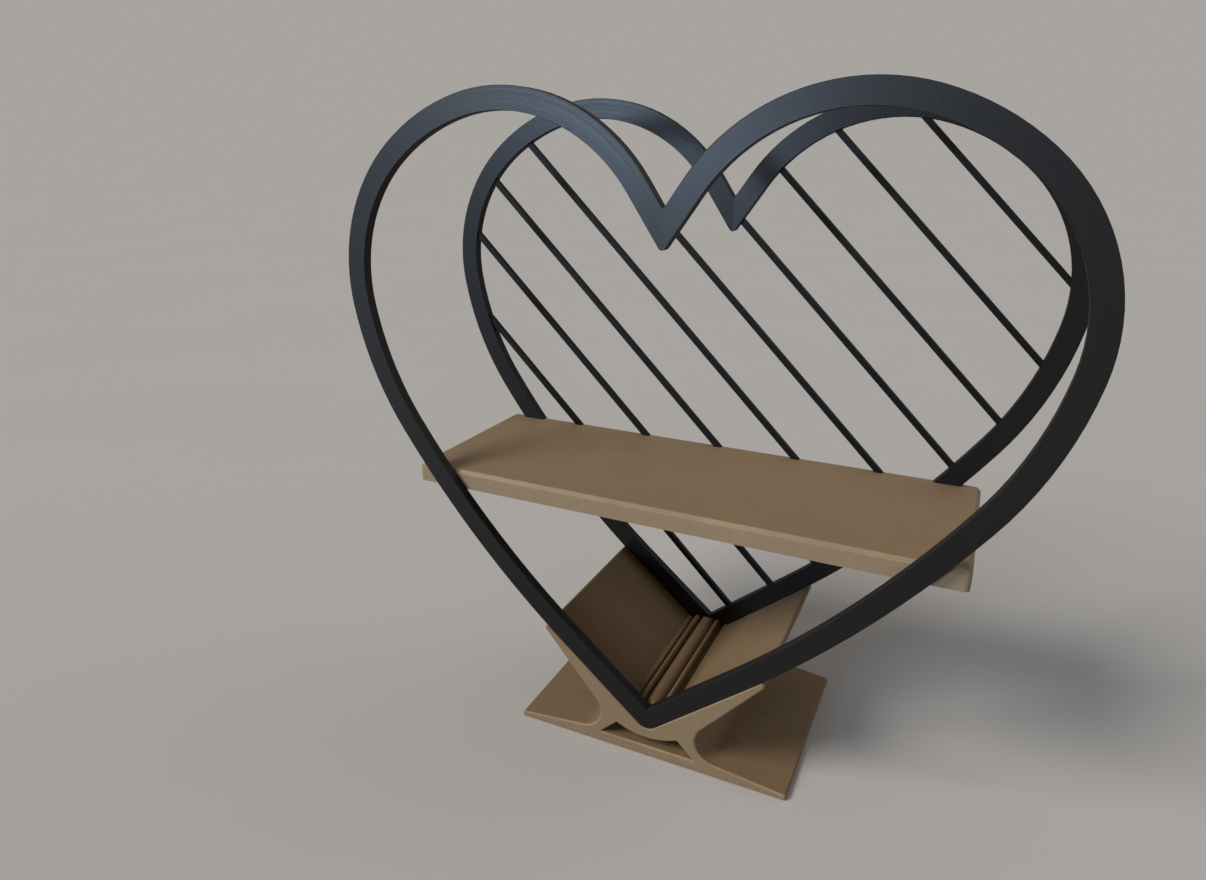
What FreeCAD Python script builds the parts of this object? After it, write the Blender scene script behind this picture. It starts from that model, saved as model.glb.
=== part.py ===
import FreeCAD, Part
import math
import os

# Heart-shaped display stand: two heart frames, nine hanging bars, a shelf, a ring rest and a stand.
# Millimetres, +Z up, +Y to the back. The origin is the middle of the stand's underside.

# Heart outline, the same for both frames
heart_width = 240.0
heart_height = 218.5        # pointed tip to the tops of the lobes
cleft_slope = 55.8          # degrees, straight run from the cleft up to the lobe
crown_radius = 60.2         # top of the lobe
crown_end = 74.0            # degrees above level, where the crown meets the shoulder
shoulder_radius = 73.4
shoulder_end = 50.0         # degrees above level, where the shoulder meets the lobe's side
side_radius = 59.2
hip_radius = 115.4
hip_sweep = 24.2            # degrees of arc between the lobe's side and the flank
flank_radius = 360.0
tip_run = 44.3              # length of the straight run from the flank down to the pointed tip
tip_radius = 5.0            # rounds the pointed tip outside
cleft_radius = 1.3          # rounds the point under the cleft inside
notch_radius = 0.6          # rounds the bottom of the cleft outside

# Frames
frame_width = 7.2           # seen from the front
frame_thickness = 3.7       # front to back
frame_edge = 0.15           # chamfer on the rims

# Hanging bars in the back frame
bar_count = 9
bar_size = 2.1              # square section
bar_pitch = 22.1
bar_angle = 44.6            # degrees down to the right
bar_middle = 105.5          # middle bar's distance from the pointed tip
bar_seat = 3.0              # depth of the sockets in the frame
bar_clearance = 0.1

# Shelf
shelf_length = 194.6
shelf_thickness = 6.8
shelf_top = 97.9            # above the table
shelf_corner = 2.0
shelf_chamfer = 1.3
notch_clearance = 0.1

# Stand
stand_depth = 74.8          # over the outer faces of both frames
tip_height = 10.8           # pointed tip above the table
base_width = 104.0
base_edge = 2.2             # plate thickness at its ends
base_end_radius = 0.8
root_reach = 10.5           # from the middle to where plate top and wing underside would meet
root_height = 6.8
root_radius = 8.0           # fillet between plate and wing
wing_reach = 41.5           # from the middle to the wing's end
wing_end = 2.9              # height of the wing's end face
wing_end_radius = 1.0
saddle = 4.4                # wall under the rounded tip
tunnel_floor = 4.5
tunnel_reach = 18.2         # from the middle to the tunnel's lower corners
tunnel_shoulder_reach = 11.8
tunnel_shoulder_height = 10.7
stand_edge = 0.5            # chamfer on the front and back outlines

# Ring rest between the frames
rest_clearance = 0.3        # to each frame
channel_width = 14.0
channel_web = 0.4           # left under the channel's corners
channel_depth = 1.2
channel_edge = 0.9
rib_rise = 3.4              # above the channel floor
rib_end_radius = 2.5
middle_rib = 5.8
side_rib = 1.8
rib_gap = 0.7

AXIS_X = FreeCAD.Vector(1, 0, 0)
AXIS_Y = FreeCAD.Vector(0, 1, 0)
ORIGIN = FreeCAD.Vector(0, 0, 0)
SMALL = 1e-4

front = -stand_depth / 2
back = stand_depth / 2
frame_gap_front = front + frame_thickness
frame_gap_back = back - frame_thickness
frame_middle = back - frame_thickness / 2


def point(x, z):
    """Point of an outline, in the plane of the outlines."""
    return FreeCAD.Vector(x, 0, z)


def polar(centre, radius, angle):
    """Point at an angle on a circle."""
    return centre + point(radius * math.cos(angle), radius * math.sin(angle))


def arc(centre, radius, start, end):
    """Arc edge between two angles."""
    ends = [polar(centre, radius, angle) for angle in (start, (start + end) / 2, end)]
    return Part.Arc(*ends).toShape()


def lobe_centres():
    """Centres of the crown, shoulder and side arcs of the right lobe.

    Each arc touches the next, so two centres lie in line with the point where their arcs meet.
    The crown reaches the heart's height and the side reaches its width.
    """
    x = heart_width / 2 - side_radius
    x -= (shoulder_radius - side_radius) * math.cos(CROWN_TO_SIDE[1])
    x += (shoulder_radius - crown_radius) * math.cos(CROWN_TO_SIDE[0])
    crown = point(x, tip_height + heart_height - crown_radius)
    shoulder = polar(crown, crown_radius - shoulder_radius, CROWN_TO_SIDE[0])
    side = polar(shoulder, shoulder_radius - side_radius, CROWN_TO_SIDE[1])
    return crown, shoulder, side


def flank_centres():
    """Centres of the hip and flank arcs on the right, and the angles where they meet and end.

    Each arc touches the next from inside. With the hip's sweep given, the two steps from the side's
    centre to the flank's add up to one step of fixed length. The straight run into the tip leaves the
    flank at a right angle to its radius, so the flank's centre is at a fixed distance from the tip.
    The step is turned until it ends at that distance.
    """
    sweep = math.radians(hip_sweep)
    first = hip_radius - side_radius
    second = flank_radius - hip_radius
    step = math.sqrt(first ** 2 + second ** 2 + 2 * first * second * math.cos(sweep))
    lead = math.atan2(second * math.sin(sweep), first + second * math.cos(sweep))
    to_side = SIDE - TIP
    reach = to_side.Length
    flank_reach = math.hypot(flank_radius, tip_run)
    turn = math.acos((reach ** 2 + step ** 2 - flank_reach ** 2) / (2 * step * reach))
    side_end = math.atan2(to_side.z, to_side.x) - turn + lead
    flank_start = side_end - sweep
    hip = polar(SIDE, -first, side_end)
    flank = polar(hip, -second, flank_start)
    to_flank = flank - TIP
    flank_end = math.atan2(to_flank.z, to_flank.x) + math.atan2(tip_run, flank_radius) - math.pi
    return hip, flank, side_end, flank_start, flank_end


TIP = point(0, tip_height)
CROWN_TO_SIDE = math.radians(crown_end), math.radians(shoulder_end)
CROWN, SHOULDER, SIDE = lobe_centres()
HIP, FLANK, SIDE_END, FLANK_START, FLANK_END = flank_centres()
TIP_SLOPE = FLANK_END + math.pi / 2


def seat_height(x):
    """Height of the heart's outside at a distance x from the middle, below the hips."""
    if x < polar(FLANK, flank_radius, FLANK_END).x:
        return tip_height + x * math.tan(TIP_SLOPE)
    return FLANK.z - math.sqrt(flank_radius ** 2 - (x - FLANK.x) ** 2)


def tip_above(distance):
    """Point on the middle plane at a distance inside both straight runs into the tip."""
    return TIP + point(0, distance / math.cos(TIP_SLOPE))


def cleft_run(inset):
    """Angle where the crown's arc begins, that point, and the cleft's point on the middle plane."""
    radius = crown_radius - inset
    slope = math.radians(cleft_slope)
    angle = math.pi / 2 + slope
    start = polar(CROWN, radius, angle)
    if start.x > SMALL:
        return angle, start, point(0, start.z - start.x * math.tan(slope))
    angle = math.acos(-CROWN.x / radius)
    start = polar(CROWN, radius, angle)
    return angle, start, start


def half_outline(inset, tip_rounding):
    """Right half of the heart moved inward by inset, from the cleft to the tip."""
    cleft_angle, start, cleft = cleft_run(inset)
    edges = []
    if start.x > SMALL:
        edges.append(Part.LineSegment(cleft, start).toShape())
    edges.append(arc(CROWN, crown_radius - inset, cleft_angle, CROWN_TO_SIDE[0]))
    edges.append(arc(SHOULDER, shoulder_radius - inset, *CROWN_TO_SIDE))
    edges.append(arc(SIDE, side_radius - inset, CROWN_TO_SIDE[1], SIDE_END))
    edges.append(arc(HIP, hip_radius - inset, SIDE_END, FLANK_START))
    edges.append(arc(FLANK, flank_radius - inset, FLANK_START, FLANK_END))
    tip_centre = tip_above(inset + tip_rounding)
    run_end = polar(tip_centre, tip_rounding, FLANK_END)
    edges.append(Part.LineSegment(polar(FLANK, flank_radius - inset, FLANK_END), run_end).toShape())
    if tip_rounding > 0:
        edges.append(arc(tip_centre, tip_rounding, FLANK_END, -math.pi / 2))
    return edges


def heart_prism(inset, y0, y1, tip_rounding=0.0):
    """Solid heart between two depths."""
    right = half_outline(inset, tip_rounding)
    left = [edge.mirror(ORIGIN, AXIS_X) for edge in right]
    face = Part.Face(Part.Wire(Part.__sortEdges__(right + left)))
    prism = face.extrude(AXIS_Y * (y1 - y0))
    prism.translate(AXIS_Y * y0)
    return prism


def rounded_prism(corners, y0, y1):
    """Prism on a closed outline of corners (x, z, radius), each rounded by its radius."""
    edges = []
    last = None
    for i, (x, z, radius) in enumerate(corners):
        corner = point(x, z)
        before = point(*corners[i - 1][:2]) - corner
        after = point(*corners[(i + 1) % len(corners)][:2]) - corner
        half = before.getAngle(after) / 2
        back_off = radius / math.tan(half)
        start = corner + before.normalize() * back_off
        end = corner + after.normalize() * back_off
        if last is None:
            first = start
        else:
            edges.append(Part.LineSegment(last, start).toShape())
        if radius > 0:
            middle = corner + (before + after).normalize() * (radius / math.sin(half) - radius)
            edges.append(Part.Arc(start, middle, end).toShape())
        last = end
    edges.append(Part.LineSegment(last, first).toShape())
    prism = Part.Face(Part.Wire(edges)).extrude(AXIS_Y * (y1 - y0))
    prism.translate(AXIS_Y * y0)
    return prism


def mirrored(corners):
    """Corners of the right half, followed by the same corners on the left."""
    return corners + [(-x, z, radius) for x, z, radius in reversed(corners)]


def rims(shape, *depths):
    """Edges that lie in a plane at one of the given depths."""
    found = []
    for edge in shape.Edges:
        box = edge.BoundBox
        for depth in depths:
            if abs(box.YMin - depth) < SMALL and abs(box.YMax - depth) < SMALL:
                found.append(edge)
    return found


def cross_edges(shape, x, z_low, z_high):
    """Edges that run front to back at a distance x from the middle, between two heights."""
    found = []
    for edge in shape.Edges:
        box = edge.BoundBox
        straight = box.XLength < SMALL and box.ZLength < SMALL
        if straight and abs(abs(box.XMin) - x) < SMALL and z_low < box.ZMin < z_high:
            found.append(edge)
    return found


def heart_frame(y0):
    """Heart-shaped ring with its cleft rounded inside and outside and its rims chamfered."""
    y1 = y0 + frame_thickness
    window = heart_prism(frame_width, y0, y1)
    ring = heart_prism(0, y0, y1, tip_radius).cut(window)
    for inset, radius in ((0, notch_radius), (frame_width, cleft_radius)):
        cleft = cleft_run(inset)[2].z
        ring = ring.makeFillet(radius, cross_edges(ring, 0, cleft - SMALL, cleft + SMALL))
    return ring.makeChamfer(frame_edge, rims(ring, y0, y1))


def bar(index, grow=0.0):
    """One hanging bar, ended in its two sockets, or its socket shape when grown."""
    section = bar_size + 2 * grow
    length = 2 * heart_width
    corner = FreeCAD.Vector(-length / 2, frame_middle - section / 2, -section / 2)
    rod = Part.makeBox(length, section, section, corner)
    offset = bar_middle + (index - (bar_count - 1) / 2) * bar_pitch
    rod.translate(point(0, offset))
    rod.rotate(ORIGIN, AXIS_Y, bar_angle)
    rod.translate(point(0, tip_height))
    ends = heart_prism(frame_width - bar_seat, frame_gap_back, back)
    pieces = rod.common(ends).Solids
    return max(pieces, key=lambda piece: piece.Volume)


def back_frame():
    """Heart frame with a socket for each end of each bar."""
    sockets = [bar(i, bar_clearance) for i in range(bar_count)]
    return heart_frame(frame_gap_back).cut(sockets)


def shelf():
    """Board that butts on the front frame, with notches at its back for the back frame and its bars."""
    width = back - frame_gap_front
    corner = FreeCAD.Vector(-shelf_length / 2, frame_gap_front, shelf_top - shelf_thickness)
    board = Part.makeBox(shelf_length, width, shelf_thickness, corner)
    uprights = [edge for edge in board.Edges if edge.BoundBox.ZLength > shelf_thickness / 2]
    board = board.makeFillet(shelf_corner, uprights)
    top = [edge for edge in board.Edges if edge.BoundBox.ZMin > shelf_top - SMALL]
    board = board.makeChamfer(shelf_chamfer, top)
    outer = heart_prism(-notch_clearance, frame_gap_back, back)
    inner = heart_prism(frame_width + notch_clearance, frame_gap_back, back)
    notches = [outer.cut(inner)]
    for i in range(bar_count):
        notch = bar(i, notch_clearance)
        notches += [notch, notch.translated(AXIS_Y * bar_size)]
    return board.cut(notches)


def stand():
    """Base plate, two legs and V cradle in one profile, with a tunnel between the legs."""
    seat = heart_prism(0, front, back, tip_radius)
    wing_top = seat_height(wing_reach)
    profile = [
        (base_width / 2, 0, 0),
        (base_width / 2, base_edge, base_end_radius),
        (root_reach, root_height, root_radius),
        (wing_reach, wing_top - wing_end, 0),
        (wing_reach, wing_top + wing_end, 0),
    ]
    solid = rounded_prism(mirrored(profile), front, back).cut([seat, tunnel()])
    wing_ends = cross_edges(solid, wing_reach, base_edge, wing_top + SMALL)
    solid = solid.makeFillet(wing_end_radius, wing_ends)
    return solid.makeChamfer(stand_edge, rims(solid, front, back))


def tunnel():
    """Hollow under the cradle: flat floor, leaning sides and a sagging roof."""
    seat_low = tip_above(tip_radius).z - tip_radius
    left = point(-tunnel_shoulder_reach, tunnel_shoulder_height)
    right = point(tunnel_shoulder_reach, tunnel_shoulder_height)
    roof = Part.Arc(left, point(0, seat_low - saddle), right).toShape()
    walls = Part.makePolygon([
        right,
        point(tunnel_reach, tunnel_floor),
        point(-tunnel_reach, tunnel_floor),
        left,
    ])
    hollow = Part.Face(Part.Wire([roof] + walls.Edges)).extrude(AXIS_Y * stand_depth)
    hollow.translate(AXIS_Y * front)
    return hollow


def ring_rest():
    """Filler in the bottom of the V with a channel, and three ribs that leave slots for rings."""
    y0 = frame_gap_front + rest_clearance
    y1 = frame_gap_back - rest_clearance
    floor = seat_height(channel_width / 2) + channel_web
    top = floor + channel_depth
    wide = heart_width / 2
    below = Part.makeBox(heart_width, y1 - y0, top, FreeCAD.Vector(-wide, y0, 0))
    filler = heart_prism(0, y0, y1, tip_radius).common(below)
    corner = FreeCAD.Vector(-channel_width / 2, y0, floor)
    filler = filler.cut(Part.makeBox(channel_width, y1 - y0, top, corner))
    lips = cross_edges(filler, channel_width / 2, top - SMALL, top + SMALL)
    filler = filler.makeFillet(channel_edge, lips)
    side = middle_rib / 2 + rib_gap + side_rib / 2
    ribs = [rib(0, middle_rib, floor, y0, y1)]
    for x in (-side, side):
        ribs.append(rib(x, side_rib, floor, y0, y1))
    return filler.fuse(ribs).removeSplitter()


def rib(x, width, floor, y0, y1):
    """Upright rib with a round top and rounded upper ends."""
    half = width / 2
    crown = floor + rib_rise - half
    base = Part.makeBox(width, y1 - y0, crown - floor, FreeCAD.Vector(x - half, y0, floor))
    round_top = Part.makeCylinder(half, y1 - y0, FreeCAD.Vector(x, y0, crown), AXIS_Y)
    solid = base.fuse(round_top).removeSplitter()
    top = floor + rib_rise
    ends = [(y0, floor, 0), (y1, floor, 0), (y1, top, rib_end_radius), (y0, top, rib_end_radius)]
    sides = rounded_prism(ends, -half, half)
    sides.rotate(ORIGIN, FreeCAD.Vector(0, 0, 1), 90)
    sides.translate(AXIS_X * x)
    return solid.common(sides)


def build():
    """All pieces by name."""
    pieces = {
        "front_heart_frame": heart_frame(front),
        "back_heart_frame": back_frame(),
        "shelf_board": shelf(),
        "stand": stand(),
        "ring_rest": ring_rest(),
    }
    for i in range(bar_count):
        pieces[f"hanging_bar_{i + 1}"] = bar(i)
    return pieces


os.makedirs("parts", exist_ok=True)
for name, shape in build().items():
    shape.exportStep(f"parts/{name}.step")
    box = shape.BoundBox
    size = f"{box.XLength:.1f} x {box.YLength:.1f} x {box.ZLength:.1f}"
    print(f"{name}: {len(shape.Solids)} solid, valid {shape.isValid()}, {size} mm")
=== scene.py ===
import math
from typing import NamedTuple

import bpy
import numpy as np
from mathutils import Matrix, Vector


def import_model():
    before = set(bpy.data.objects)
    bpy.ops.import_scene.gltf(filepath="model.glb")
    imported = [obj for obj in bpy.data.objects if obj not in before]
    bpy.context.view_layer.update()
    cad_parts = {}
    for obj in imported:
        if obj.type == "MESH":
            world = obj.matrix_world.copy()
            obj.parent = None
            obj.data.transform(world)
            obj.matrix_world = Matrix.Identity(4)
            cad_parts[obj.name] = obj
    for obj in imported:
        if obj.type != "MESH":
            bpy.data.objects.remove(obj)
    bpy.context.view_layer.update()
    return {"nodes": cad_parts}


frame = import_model()

MM = 0.001

# Outline of the heart frames, in millimetres, as the frames are built
HEART_WIDTH = 240.0
HEART_HEIGHT = 218.5
TIP_HEIGHT = 10.8
CLEFT_SLOPE = math.radians(55.8)
CROWN_RADIUS = 60.2
CROWN_END = math.radians(74.0)
SHOULDER_RADIUS = 73.4
SHOULDER_END = math.radians(50.0)
SIDE_RADIUS = 59.2
HIP_RADIUS = 115.4
HIP_SWEEP = math.radians(24.2)
FLANK_RADIUS = 360.0
TIP_RUN = 44.3
BAR_SLANT = math.radians(44.6)

# Camera
CAMERA_PLACE = (0.08954, -0.26753, 0.21085)
CAMERA_YAW = math.radians(25.134)
CAMERA_PITCH = math.radians(-19.498)
CAMERA_ROLL = math.radians(-0.561)
CAMERA_LENS = 24.438
SENSOR_WIDTH = 36.0
CLIP_START = 0.01
CLIP_END = 50.0

# Floor and backdrop
FLOOR_RADIUS = 6.0
FLOOR_RINGS = 24
FLOOR_SPOKES = 96
FIRST_RING = 0.01           # share of the way out, before it is squared
FLOOR_COLOUR = (0.526, 0.522, 0.516, 1)
FLOOR_DARKER = 0.97         # share of the colour in the floor's darker clouds
FLOOR_CLOUD = (5.0, 3.0, 0.5)   # waves per metre, octaves and their roughness
FLOOR_SHINE = 0.0
FLOOR_ROUGHNESS = 0.75
BACKDROP_COLOUR = (0.390, 0.374, 0.354, 1)
BACKDROP_STRENGTH = 1.0

# Light. Each lamp's left and up are degrees from the front, and its spread is in degrees
SKY_COLOUR = (1.0, 0.94, 0.88, 1)
SKY_STRENGTH = 0.22
LAMPS = (
    dict(name="key", left=46.0, up=37.0,
         strength=2.3, spread=24.0, colour=(1.0, 0.94, 0.86)),
    dict(name="back fill", left=225.0, up=30.0,
         strength=0.4, spread=40.0, colour=(0.96, 0.97, 1.0)),
    dict(name="front sheen", left=24.0, up=6.0,
         strength=1.9, spread=10.0, colour=(0.51, 0.70, 0.95)),
)
LAMP_REACH = 3.0


class Print(NamedTuple):
    """A printed plastic: its colours, its shine, its roughness and the strength of its relief."""

    plain: tuple
    deep: tuple
    worn: tuple
    shine: float
    face_roughness: float
    wall_roughness: float
    relief: float


# The front frame's blacks carry a warm tint, a painted warm reflection from below
FRONT_FRAME = Print(
    plain=(0.0040, 0.0025, 0.0018, 1), deep=(0.0028, 0.0018, 0.0013, 1),
    worn=(0.0066, 0.0050, 0.0042, 1),
    shine=0.31, face_roughness=0.34, wall_roughness=0.62, relief=0.3)
# The back frame's blacks are lighter than the front's: painted light that lifts its dim parts, with
# the same painted warm reflection
BACK_FRAME = Print(
    plain=(0.0085, 0.0070, 0.0063, 1), deep=(0.0070, 0.0057, 0.0051, 1),
    worn=(0.0115, 0.0100, 0.0093, 1),
    shine=0.18, face_roughness=0.28, wall_roughness=0.62, relief=0.3)
# The bars keep the front frame's blacks, with their painted warm reflection
BAR = FRONT_FRAME._replace(shine=0.14, face_roughness=0.48)
# The stand's brown is darker than the shelf's: painted shade for the shelf and frames above it
STAND = Print(
    plain=(0.222, 0.150, 0.081, 1), deep=(0.182, 0.121, 0.064, 1), worn=(0.270, 0.190, 0.112, 1),
    shine=0.25, face_roughness=0.56, wall_roughness=0.62, relief=0.55)
SHELF = STAND._replace(
    plain=(0.266, 0.185, 0.107, 1), deep=(0.220, 0.152, 0.087, 1), worn=(0.298, 0.213, 0.130, 1))

# Sizes of the print, in millimetres
BEAD_WIDTH = 0.45           # lines on flat faces
LAYER_HEIGHT = 0.25         # lines on walls
RELIEF_DEPTH = 0.05
GRAIN_RELIEF = 0.5          # height of the grain, as a share of a bead's

# Patterns on the print: waves per metre, octaves and their roughness, start and end of a step
DRIFT = (38.0, 3.0, 0.5, 0.3, 0.7)
CLOUD = (26.0, 4.0, 0.6, 0.3, 0.72)
NAP = (1000.0, 3.0, 0.65, 0.3, 0.7)
SPECK = (1500.0, 1.0, 0.5, 0.66, 0.78)
SCUFF = (70.0, 7.0, 0.68, 0.62, 0.78)
GRAIN = (2600.0, 2.0, 0.7)  # no step
# Scales that draw the drift out into streaks
FRAME_STREAKS = (0.009, 0.35, 0.35)     # of bead count, x and z
STAND_STREAKS = (0.25, 6.0, 0.25)       # of x, y and z

# Changes of tone, as shares of the step from deep to plain
BEAD_SHARE = 0.25
CLOUD_SHARE = 0.30
NAP_SHARE = 0.45
# How far edges, specks and scuffs go to the worn colour. Edges go further in bright clouds
EDGE_CLOUD = (0.1, 0.9)
EDGE_WEAR = (0.35, 1.0)
SPECK_WEAR = 0.25
SCUFF_WEAR = 0.7
# Changes of roughness
BEAD_ROUGHNESS = -0.06
GRAIN_ROUGHNESS = 0.10
SCUFF_ROUGHNESS = 0.08

# How squarely a face looks along an axis: 0 if it runs along the axis, 1 if it is square to it
FLAT_FACING = 0.9
CHAMFER_STARTS = (0.35, 0.6)
CHAMFER_ENDS = (0.8, 0.95)


class Shade:
    """Short words for adding and wiring nodes in one tree."""

    def __init__(self, tree):
        self.tree = tree

    def node(self, kind, **settings):
        made = self.tree.nodes.new("ShaderNode" + kind)
        for name, value in settings.items():
            setattr(made, name, value)
        return made

    def feed(self, socket, value):
        if isinstance(value, bpy.types.NodeSocket):
            self.tree.links.new(value, socket)
        else:
            socket.default_value = value

    def feed_all(self, sockets, values):
        for socket, value in zip(sockets, values):
            self.feed(socket, value)

    def math(self, operation, *values, clamp=False):
        made = self.node("Math", operation=operation, use_clamp=clamp)
        self.feed_all(made.inputs, values)
        return made.outputs[0]

    def vector(self, operation, *values):
        made = self.node("VectorMath", operation=operation)
        self.feed_all(made.inputs, values)
        scalar = operation in ("DOT_PRODUCT", "DISTANCE")
        return made.outputs["Value" if scalar else "Vector"]

    def split(self, vector):
        made = self.node("SeparateXYZ")
        self.feed(made.inputs[0], vector)
        return made.outputs

    def join(self, x, y, z):
        made = self.node("CombineXYZ")
        self.feed_all(made.inputs, (x, y, z))
        return made.outputs[0]

    def choose(self, factor, a, b):
        """Number a where factor is 0, b where it is 1, from sockets 2 and 3 of a Mix node."""
        made = self.node("Mix", data_type="FLOAT")
        self.feed_all(made.inputs[:1] + made.inputs[2:4], (factor, a, b))
        return made.outputs[0]

    def blend(self, factor, a, b):
        """Colour a where factor is 0, b where it is 1, from sockets 6 and 7 of a Mix node."""
        made = self.node("Mix", data_type="RGBA")
        self.feed_all(made.inputs[:1] + made.inputs[6:8], (factor, a, b))
        return made.outputs[2]

    def ramp(self, value, start, end, low=0.0, high=1.0):
        """Smooth step from low at start to high at end."""
        made = self.node("MapRange", interpolation_type="SMOOTHSTEP")
        self.feed_all(made.inputs, (value, start, end, low, high))
        return made.outputs[0]

    def noise(self, vector, waves, octaves, rough):
        made = self.node("TexNoise", noise_dimensions="3D")
        self.feed(made.inputs["Vector"], vector)
        made.inputs["Scale"].default_value = waves
        made.inputs["Detail"].default_value = octaves
        made.inputs["Roughness"].default_value = rough
        return made.outputs["Fac"]

    def pattern(self, vector, waves, octaves, rough, start, end):
        """Noise cut by a smooth step."""
        return self.ramp(self.noise(vector, waves, octaves, rough), start, end)

    def group(self, tree, **values):
        made = self.node("Group", node_tree=tree)
        for name, value in values.items():
            self.feed(made.inputs[name.replace("_", " ")], value)
        return made.outputs


def new_group(name, inputs, outputs):
    """Empty shader node group with named sockets, each given as name and kind."""
    tree = bpy.data.node_groups.new(name, "ShaderNodeTree")
    for way, sockets in (("INPUT", inputs), ("OUTPUT", outputs)):
        for label, kind in sockets:
            tree.interface.new_socket(label, in_out=way, socket_type="NodeSocket" + kind)
    given, made = tree.nodes.new("NodeGroupInput"), tree.nodes.new("NodeGroupOutput")
    return Shade(tree), given.outputs, made.inputs


def unit(angle):
    """Direction at an angle in the plane of the hearts."""
    return np.array([math.cos(angle), 0.0, math.sin(angle)])


def across(angle):
    """Direction a quarter turn on from an angle."""
    return unit(angle + math.pi / 2)


def lobe_centres():
    """Centres of the crown, shoulder and side arcs of the right lobe.

    Each arc touches the next, so two centres lie in line with the point where their arcs meet.
    """
    right = HEART_WIDTH / 2 - SIDE_RADIUS
    right -= (SHOULDER_RADIUS - SIDE_RADIUS) * math.cos(SHOULDER_END)
    right += (SHOULDER_RADIUS - CROWN_RADIUS) * math.cos(CROWN_END)
    crown = np.array([right, 0, TIP_HEIGHT + HEART_HEIGHT - CROWN_RADIUS])
    shoulder = crown - (SHOULDER_RADIUS - CROWN_RADIUS) * unit(CROWN_END)
    return crown, shoulder, shoulder + (SHOULDER_RADIUS - SIDE_RADIUS) * unit(SHOULDER_END)


def flank_centres(tip, side):
    """Centres of the hip and flank arcs, and the angles where the side and the flank end.

    Each arc touches the next from inside. The flank's centre lies at the hypotenuse of its radius
    and the tip's straight run from the tip. The law of cosines then fixes the turn of the chain.
    """
    first, second = HIP_RADIUS - SIDE_RADIUS, FLANK_RADIUS - HIP_RADIUS
    step = math.sqrt(first ** 2 + second ** 2 + 2 * first * second * math.cos(HIP_SWEEP))
    lead = math.atan2(second * math.sin(HIP_SWEEP), first + second * math.cos(HIP_SWEEP))
    reach = np.linalg.norm(side - tip)
    far = math.hypot(FLANK_RADIUS, TIP_RUN)
    turn = math.acos((reach ** 2 + step ** 2 - far ** 2) / (2 * step * reach))
    side_end = math.atan2(side[2] - tip[2], side[0]) - turn + lead
    hip = side - first * unit(side_end)
    flank = hip - second * unit(side_end - HIP_SWEEP)
    to_flank = math.atan2(flank[2] - tip[2], flank[0])
    flank_end = to_flank + math.atan2(TIP_RUN, FLANK_RADIUS) - math.pi
    return hip, flank, side_end, flank_end


def heart_contour_group():
    """Distance in millimetres inward from the heart's outline.

    On each stretch of the outline the distance is the arc's radius less the distance to its centre,
    or the distance to a straight run. Rays through the joints of the arcs tell the stretches apart.
    """
    shade, given, made = new_group("heart contour", [("Vector", "Vector")], [("Inset", "Float")])
    tip = np.array([0, 0, TIP_HEIGHT])
    crown, shoulder, side = lobe_centres()
    hip, flank, side_end, flank_end = flank_centres(tip, side)
    x, _, z = shade.split(given["Vector"])
    right = shade.math("MULTIPLY", shade.math("ABSOLUTE", x), 1 / MM)
    up = shade.math("MULTIPLY", z, 1 / MM)
    place = shade.join(right, 0.0, up)

    def along(start, direction):
        return shade.vector("DOT_PRODUCT", shade.vector("SUBTRACT", place, start), direction)

    def past(start, angle, before, after):
        """The stretch before a joint's ray, or the one after it."""
        beyond = shade.math("GREATER_THAN", along(start, across(angle)), 0.0)
        return shade.choose(beyond, before, after)

    def arc_inset(centre, radius):
        return shade.math("SUBTRACT", radius, shade.vector("DISTANCE", place, centre))

    tip_run = along(tip, -unit(flank_end))
    low = past(flank, flank_end, tip_run, arc_inset(flank, FLANK_RADIUS))
    low = past(hip, side_end - HIP_SWEEP, low, arc_inset(hip, HIP_RADIUS))
    cleft_way = math.pi / 2 + CLEFT_SLOPE
    cleft_run = shade.math("SUBTRACT", CROWN_RADIUS, along(crown, unit(cleft_way)))
    top = arc_inset(side, SIDE_RADIUS)
    top = past(side, SHOULDER_END, top, arc_inset(shoulder, SHOULDER_RADIUS))
    top = past(crown, CROWN_END, top, arc_inset(crown, CROWN_RADIUS))
    top = past(crown, cleft_way, top, cleft_run)
    beside = shade.math("ABSOLUTE", shade.math("SUBTRACT", right, side[0]))
    lean = shade.math("MULTIPLY", beside, -math.tan(side_end))
    level = shade.math("ADD", shade.math("SUBTRACT", up, side[2]), lean)
    shade.feed(made["Inset"], shade.choose(shade.math("GREATER_THAN", level, 0.0), low, top))
    return shade.tree


def bead_group():
    """Rounded beads side by side: height of a half circle across each bead, and a tone per bead.

    Count rises by one from each bead to the next.
    """
    shade, given, made = new_group(
        "printed beads",
        [("Count", "Float"), ("Vector", "Vector")],
        [("Height", "Float"), ("Tone", "Float")])
    offset = shade.math("MULTIPLY_ADD", shade.math("FRACT", given["Count"]), 2.0, -1.0)
    square = shade.math("MULTIPLY", offset, offset)
    height = shade.math("SQRT", shade.math("SUBTRACT", 1.0, square, clamp=True))
    random = shade.node("TexWhiteNoise", noise_dimensions="1D")
    shade.feed(random.inputs["W"], shade.math("FLOOR", given["Count"]))
    drift = shade.pattern(given["Vector"], *DRIFT)
    shade.feed(made["Height"], height)
    shade.feed(made["Tone"], shade.math("MULTIPLY", random.outputs["Value"], drift))
    return shade.tree


def chamfer_group():
    """Mask of faces that lean between level and square, as chamfers and rounded edges do."""
    shade, given, made = new_group("chamfer", [("Facing", "Float")], [("Edge", "Float")])
    lean = shade.ramp(given["Facing"], *CHAMFER_STARTS)
    square = shade.ramp(given["Facing"], *CHAMFER_ENDS)
    shade.feed(made["Edge"], shade.math("MULTIPLY", lean, shade.math("SUBTRACT", 1.0, square)))
    return shade.tree


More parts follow.
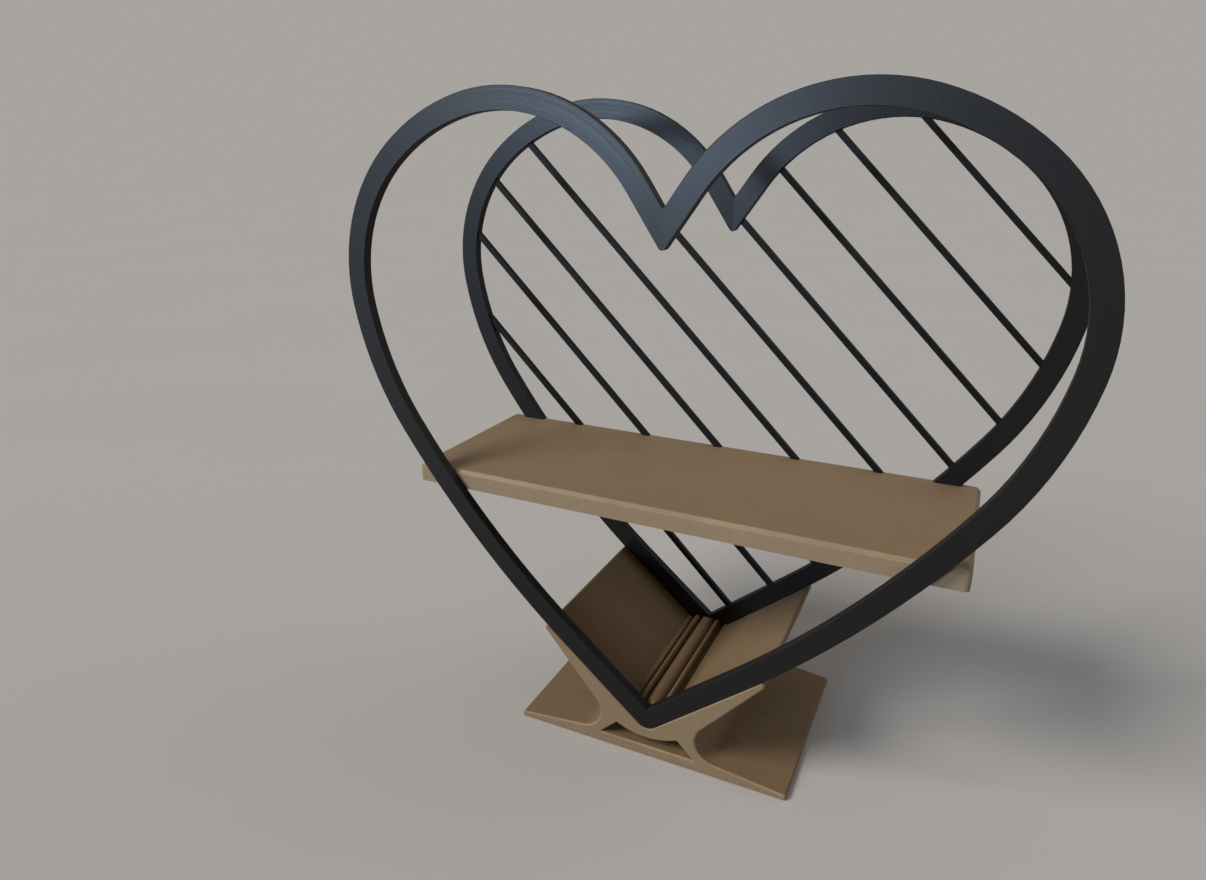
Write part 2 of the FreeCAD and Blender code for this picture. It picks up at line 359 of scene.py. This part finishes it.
def finish_group():
    """Colour, roughness and relief of a printed plastic.

    Tone goes from deep to plain with the beads, slow clouds and a fine nap, and to worn on edges,
    specks and scuffs. Brighter beads are smoother, and grain and scuffs are rougher.
    """
    shade, given, made = new_group(
        "printed finish",
        [("Vector", "Vector"), ("Tone", "Float"), ("Height", "Float"),
         ("Flat", "Float"), ("Edge", "Float"),
         ("Plain", "Color"), ("Deep", "Color"), ("Worn", "Color"),
         ("Face Roughness", "Float"), ("Wall Roughness", "Float")],
        [("Colour", "Color"), ("Roughness", "Float"), ("Relief", "Float")])
    place, bead_tone = given["Vector"], given["Tone"]
    cloud = shade.pattern(place, *CLOUD)
    nap = shade.pattern(place, *NAP)
    grain = shade.noise(place, *GRAIN)
    speck = shade.pattern(place, *SPECK)
    scuff = shade.pattern(place, *SCUFF)
    tone = shade.math("MULTIPLY", cloud, CLOUD_SHARE)
    tone = shade.math("MULTIPLY_ADD", bead_tone, BEAD_SHARE, tone)
    tone = shade.math("MULTIPLY_ADD", nap, NAP_SHARE, tone)
    wear = shade.math("MULTIPLY", given["Edge"], shade.ramp(cloud, *EDGE_CLOUD, *EDGE_WEAR))
    for mark, share in ((speck, SPECK_WEAR), (scuff, SCUFF_WEAR)):
        wear = shade.math("MAXIMUM", wear, shade.math("MULTIPLY", mark, share))
    colour = shade.blend(tone, given["Deep"], given["Plain"])
    shade.feed(made["Colour"], shade.blend(wear, colour, given["Worn"]))
    rough = shade.choose(given["Flat"], given["Wall Roughness"], given["Face Roughness"])
    for change, share in (
            (bead_tone, BEAD_ROUGHNESS), (grain, GRAIN_ROUGHNESS), (scuff, SCUFF_ROUGHNESS)):
        rough = shade.math("MULTIPLY_ADD", change, share, rough)
    shade.feed(made["Roughness"], rough)
    shade.feed(made["Relief"], shade.math("MULTIPLY_ADD", grain, GRAIN_RELIEF, given["Height"]))
    return shade.tree


CONTOUR = heart_contour_group()
BEADS = bead_group()
CHAMFER = chamfer_group()
FINISH = finish_group()


def new_material(name, shine):
    """Material with a Principled shader, its tree's words and its Object coordinates."""
    material = bpy.data.materials.new(name)
    material.use_nodes = True
    shade = Shade(material.node_tree)
    shader = material.node_tree.nodes["Principled BSDF"]
    shader.inputs["Specular IOR Level"].default_value = shine
    place = shade.node("TexCoord").outputs["Object"]
    return material, shade, shader, place


def flat_and_edge(shade, axis):
    """Mask of the faces square to an axis, and mask of the chamfers round them."""
    normal = shade.split(shade.node("NewGeometry").outputs["Normal"])
    facing = shade.math("ABSOLUTE", normal[axis])
    flat = shade.math("GREATER_THAN", facing, FLAT_FACING)
    return flat, shade.group(CHAMFER, Facing=facing)["Edge"]


def diagonal(shade, a, b):
    """Count of the beads laid at 45 degrees between two axes."""
    return shade.math("MULTIPLY", shade.math("ADD", a, b), math.sqrt(0.5) / (BEAD_WIDTH * MM))


def layers(shade, along):
    """Count of the layers stacked along an axis."""
    return shade.math("DIVIDE", along, LAYER_HEIGHT * MM)


def lay_print(look, shade, shader, place, count, streaks, flat, edge):
    """Wires a printed finish into a shader: beads first, then colour, roughness and relief."""
    beads = shade.group(BEADS, Count=count, Vector=streaks)
    finish = shade.group(
        FINISH, Vector=place, Tone=beads["Tone"], Height=beads["Height"], Flat=flat, Edge=edge,
        Plain=look.plain, Deep=look.deep, Worn=look.worn,
        Face_Roughness=look.face_roughness, Wall_Roughness=look.wall_roughness)
    shade.feed(shader.inputs["Base Color"], finish["Colour"])
    shade.feed(shader.inputs["Roughness"], finish["Roughness"])
    bump = shade.node("Bump")
    bump.inputs["Strength"].default_value = look.relief
    bump.inputs["Distance"].default_value = RELIEF_DEPTH * MM
    shade.feed(bump.inputs["Height"], finish["Relief"])
    shade.feed(shader.inputs["Normal"], bump.outputs["Normal"])


def black_frame_material(name, look):
    """Black print laid down in rings along the heart, with layers showing on its walls."""
    material, shade, shader, place = new_material(name, look.shine)
    flat, edge = flat_and_edge(shade, "Y")
    x, y, z = shade.split(place)
    rings = shade.math("DIVIDE", shade.group(CONTOUR, Vector=place)["Inset"], BEAD_WIDTH)
    count = shade.choose(flat, layers(shade, y), rings)
    streaks = shade.vector("MULTIPLY", shade.join(count, x, z), FRAME_STREAKS)
    lay_print(look, shade, shader, place, count, streaks, flat, edge)
    return material


def black_bar_material():
    """Black print laid down along the slanting bars."""
    material, shade, shader, place = new_material("black printed bar", BAR.shine)
    flat, _ = flat_and_edge(shade, "Y")
    _, y, _ = shade.split(place)
    beads_across = tuple(across(-BAR_SLANT) / (BEAD_WIDTH * MM))
    slant = shade.vector("DOT_PRODUCT", place, beads_across)
    count = shade.choose(flat, layers(shade, y), slant)
    lay_print(BAR, shade, shader, place, count, place, flat, 0.0)
    return material


def brown_stand_material():
    """Brown print whose layers are stacked from front to back."""
    material, shade, shader, place = new_material("brown printed stand", STAND.shine)
    flat, edge = flat_and_edge(shade, "Y")
    x, y, z = shade.split(place)
    count = shade.choose(flat, layers(shade, y), diagonal(shade, x, z))
    streaks = shade.vector("MULTIPLY", place, STAND_STREAKS)
    lay_print(STAND, shade, shader, place, count, streaks, flat, edge)
    return material


def brown_shelf_material():
    """Brown print laid flat: slanting lines on the board's top, layers on its edges."""
    material, shade, shader, place = new_material("brown printed shelf", SHELF.shine)
    flat, edge = flat_and_edge(shade, "Z")
    x, y, z = shade.split(place)
    count = shade.choose(flat, layers(shade, z), diagonal(shade, x, y))
    lay_print(SHELF, shade, shader, place, count, place, flat, edge)
    return material


def dress(piece, material):
    """Puts one material in all the slots of a CAD node."""
    slots = piece.data.materials
    if not slots:
        slots.append(material)
    for i in range(len(slots)):
        slots[i] = material


stand_material = brown_stand_material()
materials = {
    "front_heart_frame": black_frame_material("black printed front frame", FRONT_FRAME),
    "back_heart_frame": black_frame_material("black printed back frame", BACK_FRAME),
    "hanging_bar": black_bar_material(),
    "shelf_board": brown_shelf_material(),
    "stand": stand_material,
    "ring_rest": stand_material,
}
for node, piece in frame["nodes"].items():
    kind = node.rstrip("_0123456789")       # the bars are numbered
    dress(piece, materials[kind])


def floor():
    """Flat round floor: points on even spokes at r = R * t squared, joined in quads round a cap."""
    t = np.linspace(FIRST_RING, 1, FLOOR_RINGS)
    angle = np.linspace(0, 2 * math.pi, FLOOR_SPOKES, endpoint=False)
    r, a = np.meshgrid(FLOOR_RADIUS * t ** 2, angle, indexing="ij")
    points = np.stack([r * np.cos(a), r * np.sin(a), 0 * r], axis=-1).reshape(-1, 3)
    ring, spoke = np.meshgrid(np.arange(FLOOR_RINGS - 1), np.arange(FLOOR_SPOKES), indexing="ij")
    near, far = ring * FLOOR_SPOKES, (ring + 1) * FLOOR_SPOKES
    after = (spoke + 1) % FLOOR_SPOKES
    quads = np.stack([near + spoke, far + spoke, far + after, near + after], axis=-1)
    cap = list(range(FLOOR_SPOKES))
    mesh = bpy.data.meshes.new("floor")
    mesh.from_pydata(points.tolist(), [], quads.reshape(-1, 4).tolist() + [cap])
    made = bpy.data.objects.new("floor", mesh)
    bpy.context.scene.collection.objects.link(made)
    material, shade, shader, place = new_material("pale floor", FLOOR_SHINE)
    darker = tuple(FLOOR_DARKER * part for part in FLOOR_COLOUR[:3]) + (1,)
    colour = shade.blend(shade.noise(place, *FLOOR_CLOUD), darker, FLOOR_COLOUR)
    shade.feed(shader.inputs["Base Color"], colour)
    shader.inputs["Roughness"].default_value = FLOOR_ROUGHNESS
    mesh.materials.append(material)


def camera():
    """Camera at the photographed angle: yaw to the left, pitch down, and a slight roll."""
    cos_yaw, sin_yaw = math.cos(CAMERA_YAW), math.sin(CAMERA_YAW)
    cos_pitch, sin_pitch = math.cos(CAMERA_PITCH), math.sin(CAMERA_PITCH)
    ahead = np.array([-sin_yaw * cos_pitch, cos_yaw * cos_pitch, sin_pitch])
    right = np.array([cos_yaw, sin_yaw, 0.0])
    down = np.cross(ahead, right)
    rolled_right = math.cos(CAMERA_ROLL) * right + math.sin(CAMERA_ROLL) * down
    rolled_down = math.cos(CAMERA_ROLL) * down - math.sin(CAMERA_ROLL) * right
    turn = Matrix(np.column_stack([rolled_right, -rolled_down, -ahead]).tolist())
    data = bpy.data.cameras.new("camera")
    data.lens = CAMERA_LENS
    data.sensor_width = SENSOR_WIDTH
    data.sensor_fit = "HORIZONTAL"
    data.clip_start = CLIP_START
    data.clip_end = CLIP_END
    made = bpy.data.objects.new("camera", data)
    made.matrix_world = Matrix.Translation(CAMERA_PLACE) @ turn.to_4x4()
    bpy.context.scene.collection.objects.link(made)
    bpy.context.scene.camera = made


def soft_sun(name, left, up, strength, spread, colour):
    """Even light from far away, from a direction turned from the front to the left and raised."""
    data = bpy.data.lights.new(name, "SUN")
    data.energy = strength
    data.angle = math.radians(spread)
    data.color = colour
    turn, rise = math.radians(left), math.radians(up)
    level = math.cos(rise)
    towards = Vector((-math.sin(turn) * level, -math.cos(turn) * level, math.sin(rise)))
    made = bpy.data.objects.new(name, data)
    made.location = LAMP_REACH * towards
    made.rotation_mode = "QUATERNION"
    made.rotation_quaternion = towards.to_track_quat("Z", "Y")
    made.visible_camera = False
    bpy.context.scene.collection.objects.link(made)


def world():
    """Even pale sky for light, and a grey backdrop for what is seen or mirrored past the floor."""
    made = bpy.data.worlds.new("studio")
    made.use_nodes = True
    made.node_tree.nodes.clear()
    shade = Shade(made.node_tree)

    def background(colour, strength):
        node = shade.node("Background")
        node.inputs["Color"].default_value = colour
        node.inputs["Strength"].default_value = strength
        return node.outputs[0]

    path = shade.node("LightPath").outputs
    seen = shade.math("MAXIMUM", path["Is Camera Ray"], path["Is Glossy Ray"])
    seen = shade.math("MAXIMUM", seen, path["Is Transmission Ray"])
    sky = background(SKY_COLOUR, SKY_STRENGTH)
    backdrop = background(BACKDROP_COLOUR, BACKDROP_STRENGTH)
    mix = shade.node("MixShader")
    shade.feed_all(mix.inputs, (seen, sky, backdrop))
    out = shade.node("OutputWorld")
    shade.feed(out.inputs["Surface"], mix.outputs[0])
    bpy.context.scene.world = made


floor()
camera()
world()
for lamp in LAMPS:
    soft_sun(**lamp)
bpy.context.scene.view_settings.view_transform = "Standard"
